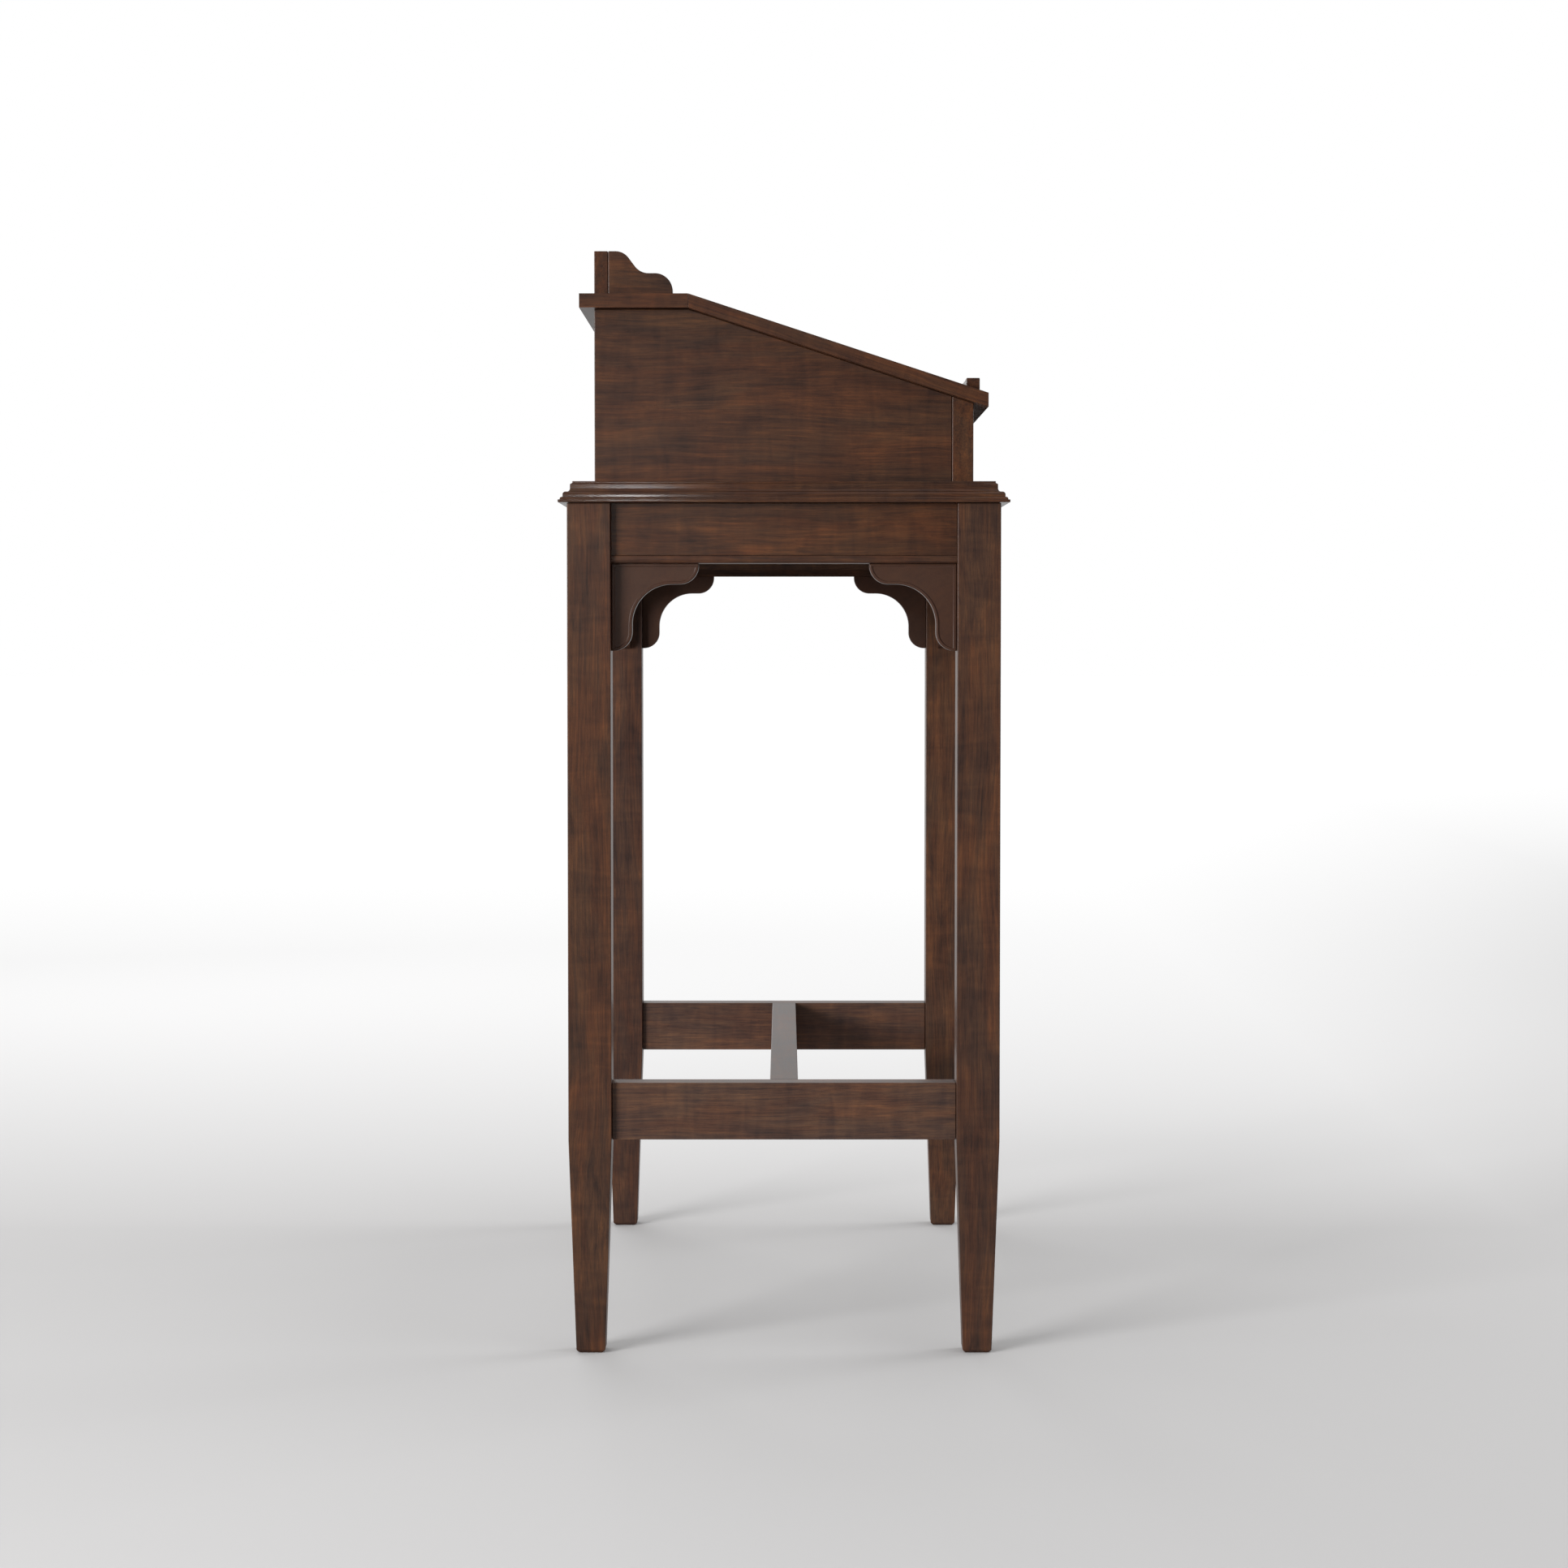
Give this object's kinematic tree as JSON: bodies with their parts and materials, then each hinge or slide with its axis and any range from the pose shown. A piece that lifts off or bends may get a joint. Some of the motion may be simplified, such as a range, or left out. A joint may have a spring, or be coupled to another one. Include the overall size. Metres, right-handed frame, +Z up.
{
  "type": "photo album stand",
  "caption": "Slant-top wooden stand for reading an album while standing: tapered legs, stretchers, moulded table top, and a case with a low gallery under a hinged sloping lid with a ledge.",
  "frame": {"origin": "On the floor, under the middle of the stand's outer box.", "axes": "+Z up; X along the stand, from its left end to its right end; the reader stands at -Y, so +Y points to the back."},
  "size_m": [0.8492, 0.4668, 1.1488],
  "materials": {
    "stained_wood": "satin, dark reddish-brown stain",
    "bracket_wood": "satin, plainer and browner than the boards",
    "brass": "satin, lacquered",
    "steel": "zinc-plated"
  },
  "bodies": {
    "stand": {"apron_back": "stained_wood", "apron_front": "stained_wood", "apron_left": "stained_wood", "apron_right": "stained_wood", "bead_back": "stained_wood", "bead_front": "stained_wood", "bead_left": "stained_wood", "bead_right": "stained_wood", "bracket_back_left": "bracket_wood", "bracket_back_right": "bracket_wood", "bracket_front_left": "bracket_wood", "bracket_front_right": "bracket_wood", "bracket_left_back": "bracket_wood", "bracket_left_front": "bracket_wood", "bracket_right_back": "bracket_wood", "bracket_right_front": "bracket_wood", "case_back": "stained_wood", "case_front": "stained_wood", "case_side_left": "stained_wood", "case_side_right": "stained_wood", "case_top": "stained_wood", "corner_block_back_left": "stained_wood", "corner_block_back_right": "stained_wood", "corner_block_front_left": "stained_wood", "corner_block_front_right": "stained_wood", "corner_bolt_back_left": "steel", "corner_bolt_back_right": "steel", "corner_bolt_front_left": "steel", "corner_bolt_front_right": "steel", "gallery_back": "stained_wood", "gallery_end_left": "stained_wood", "gallery_end_right": "stained_wood", "hinge_left_fixed_leaf": "brass", "hinge_left_fixed_leaf_screw_1": "brass", "hinge_left_fixed_leaf_screw_2": "brass", "hinge_left_pin": "brass", "hinge_right_fixed_leaf": "brass", "hinge_right_fixed_leaf_screw_1": "brass", "hinge_right_fixed_leaf_screw_2": "brass", "hinge_right_pin": "brass", "keeper_left": "brass", "keeper_right": "brass", "leg_back_left": "stained_wood", "leg_back_right": "stained_wood", "leg_front_left": "stained_wood", "leg_front_right": "stained_wood", "stretcher_centre": "stained_wood", "stretcher_left": "stained_wood", "stretcher_right": "stained_wood", "table_top": "stained_wood"},
    "lid": {"album_ledge": "stained_wood", "hinge_left_lid_leaf": "brass", "hinge_left_lid_leaf_screw_1": "brass", "hinge_left_lid_leaf_screw_2": "brass", "hinge_right_lid_leaf": "brass", "hinge_right_lid_leaf_screw_1": "brass", "hinge_right_lid_leaf_screw_2": "brass", "lid": "stained_wood", "stay_left": "brass", "stay_right": "brass"}
  },
  "joints": [
    {"name": "lid_hinge", "type": "hinge", "parent": "stand", "child": "lid", "pos_m": [0, 0.0993, 1.1042], "axis": [-1, 0, 0], "range_deg": [0, 112]}
  ]
}
